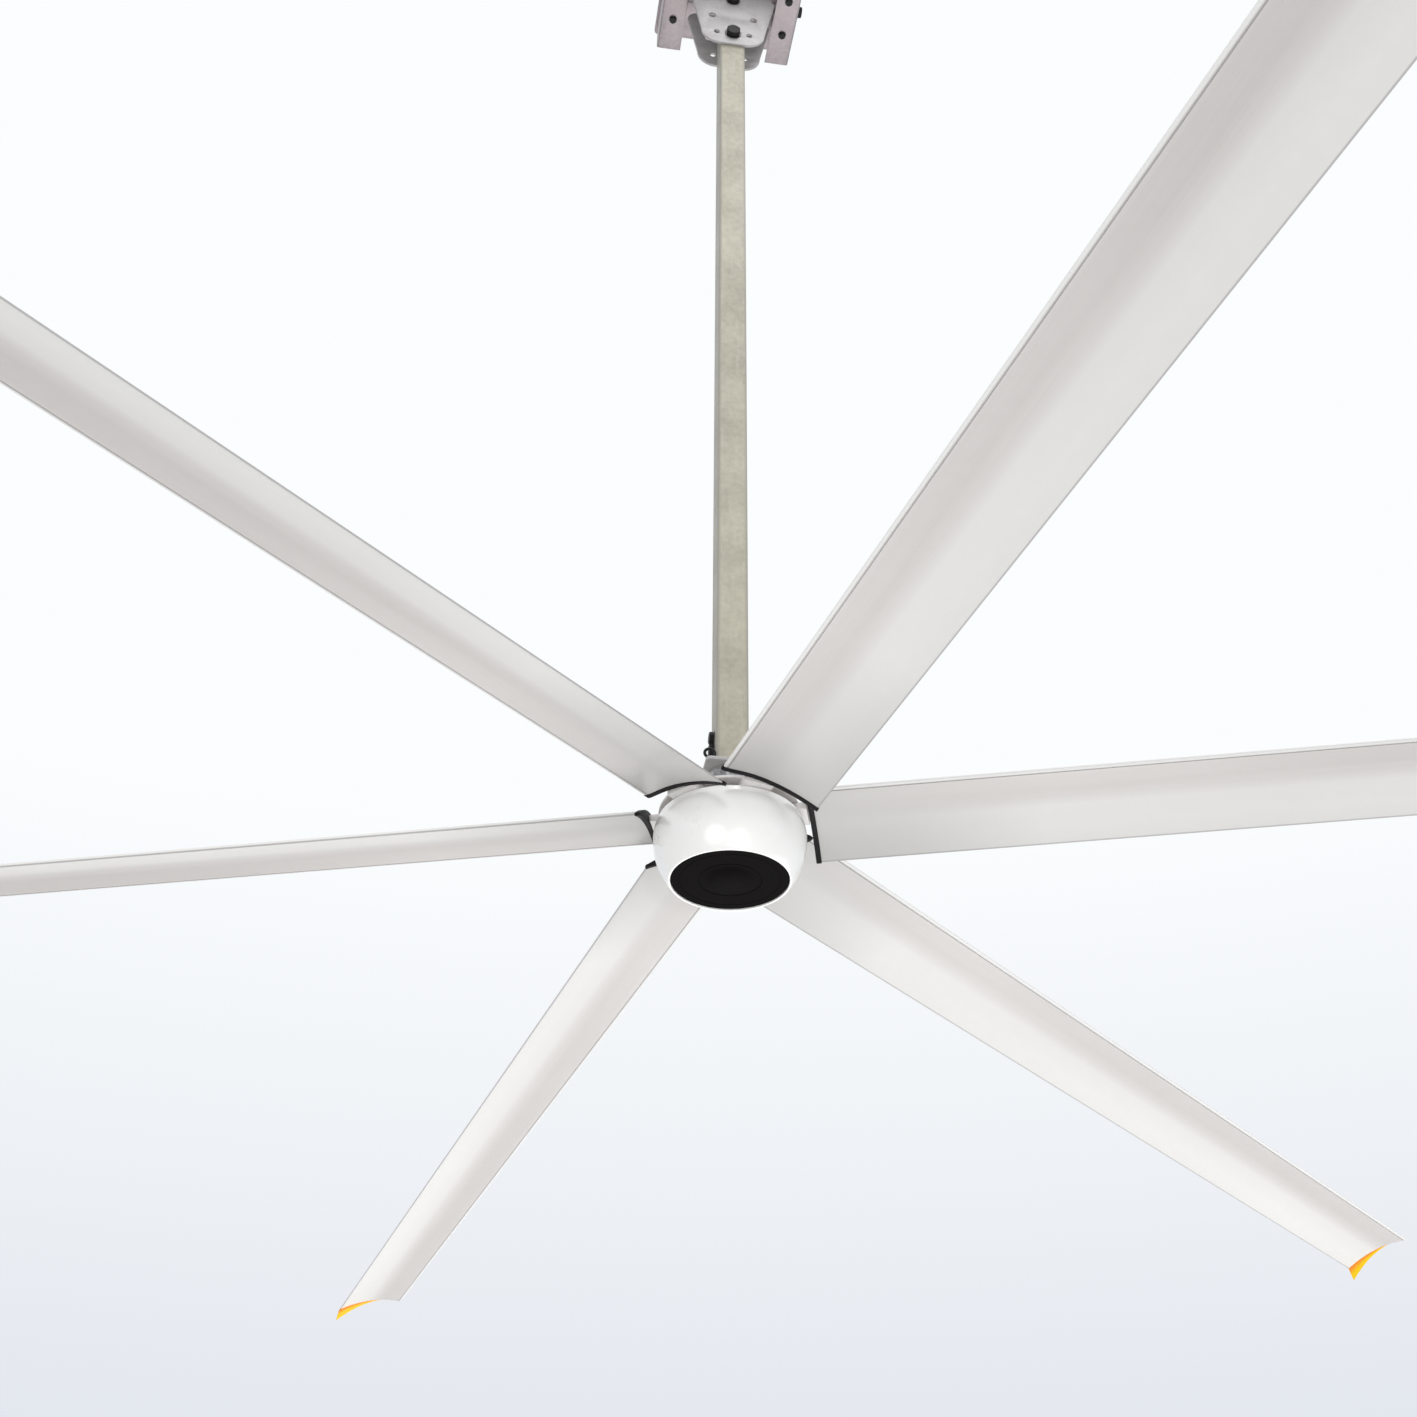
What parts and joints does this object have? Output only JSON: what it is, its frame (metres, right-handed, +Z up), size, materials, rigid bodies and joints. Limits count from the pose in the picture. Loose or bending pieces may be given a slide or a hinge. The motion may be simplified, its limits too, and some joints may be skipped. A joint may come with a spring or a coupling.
{
  "type": "high volume low speed ceiling fan",
  "caption": "Large slow ceiling fan: square downrod on a tilting hanger, white motor bowl, and long aluminium blades with drooping yellow winglets.",
  "frame": {"origin": "centre of the mounting plate's top face, where the fan is fastened to the building", "axes": "+Z up along the downrod and the rotor's axle; X along the upper pivot bolt, Y along the lower pivot bolt"},
  "size_m": [7.0082, 7.0878, 3.243],
  "materials": {
    "galvanised_steel": "galvanised, dull",
    "pale_paint": "satin grey paint",
    "tube_paint": "mottled beige-grey zinc primer, satin",
    "black_steel": "black oxide, semi-matt",
    "white_gloss": "high gloss white",
    "black_gloss": "gloss black",
    "blade_satin": "white satin coated extrusion",
    "black_rubber": "matt moulded black",
    "tip_yellow": "semi-gloss moulded yellow-orange",
    "cast_aluminium": "cast and machined, dull",
    "bearing_steel": "ground steel",
    "magnet_grey": "nickel plated magnet segments",
    "core_steel": "stacked laminations, oiled",
    "copper_wire": "enamelled copper wire"
  },
  "bodies": {
    "hanger": {"mounting_plate": "galvanised_steel", "hanger_angle_left": "galvanised_steel", "hanger_angle_right": "galvanised_steel", "angle_bolt_1": "black_steel", "angle_bolt_2": "black_steel", "angle_bolt_3": "black_steel", "angle_bolt_4": "black_steel", "upper_pivot_bolt": "black_steel"},
    "cross": {"cross_block": "galvanised_steel"},
    "downrod": {"swivel_plate_front": "pale_paint", "swivel_plate_rear": "pale_paint", "swivel_pivot_bolt": "black_steel", "tube_bolt": "black_steel", "downrod_tube": "tube_paint", "motor_socket": "pale_paint", "socket_bolt_lower": "black_steel", "socket_bolt_upper": "black_steel", "eye_bolt": "black_steel", "motor_shaft": "bearing_steel", "stator_core": "core_steel", "stator_winding": "copper_wire", "retaining_nut": "bearing_steel"},
    "rotor": {"magnet_ring": "magnet_grey", "rotor_housing": "cast_aluminium", "upper_bearing": "bearing_steel", "lower_bearing": "bearing_steel", "lower_end_plate": "cast_aluminium", "top_cover": "cast_aluminium", "bowl_cover": "white_gloss", "hub_disc": "black_gloss", "arm_1": "cast_aluminium", "arm_2": "cast_aluminium", "arm_3": "cast_aluminium", "arm_4": "cast_aluminium", "arm_5": "cast_aluminium", "arm_6": "cast_aluminium", "blade_1": "blade_satin", "blade_2": "blade_satin", "blade_3": "blade_satin", "blade_4": "blade_satin", "blade_5": "blade_satin", "blade_6": "blade_satin", "root_cap_1": "black_rubber", "root_cap_2": "black_rubber", "root_cap_3": "black_rubber", "root_cap_4": "black_rubber", "root_cap_5": "black_rubber", "root_cap_6": "black_rubber", "winglet_1": "tip_yellow", "winglet_2": "tip_yellow", "winglet_3": "tip_yellow", "winglet_4": "tip_yellow", "winglet_5": "tip_yellow", "winglet_6": "tip_yellow", "blade_bolt_1": "black_steel", "blade_bolt_2": "black_steel", "blade_bolt_3": "black_steel", "blade_bolt_4": "black_steel", "blade_bolt_5": "black_steel", "blade_bolt_6": "black_steel"}
  },
  "joints": [
    {"name": "cross_tilt", "type": "hinge", "parent": "hanger", "child": "cross", "pos_m": [0, 0, -0.064], "axis": [1, 0, 0], "range_deg": [-12, 12]},
    {"name": "downrod_tilt", "type": "hinge", "parent": "cross", "child": "downrod", "pos_m": [0, 0, -0.122], "axis": [0, 1, 0], "range_deg": [-12, 12]},
    {"name": "rotor_spin", "type": "hinge", "parent": "downrod", "child": "rotor", "pos_m": [0, 0, -3.1], "axis": [0, 0, 1], "continuous": true}
  ]
}
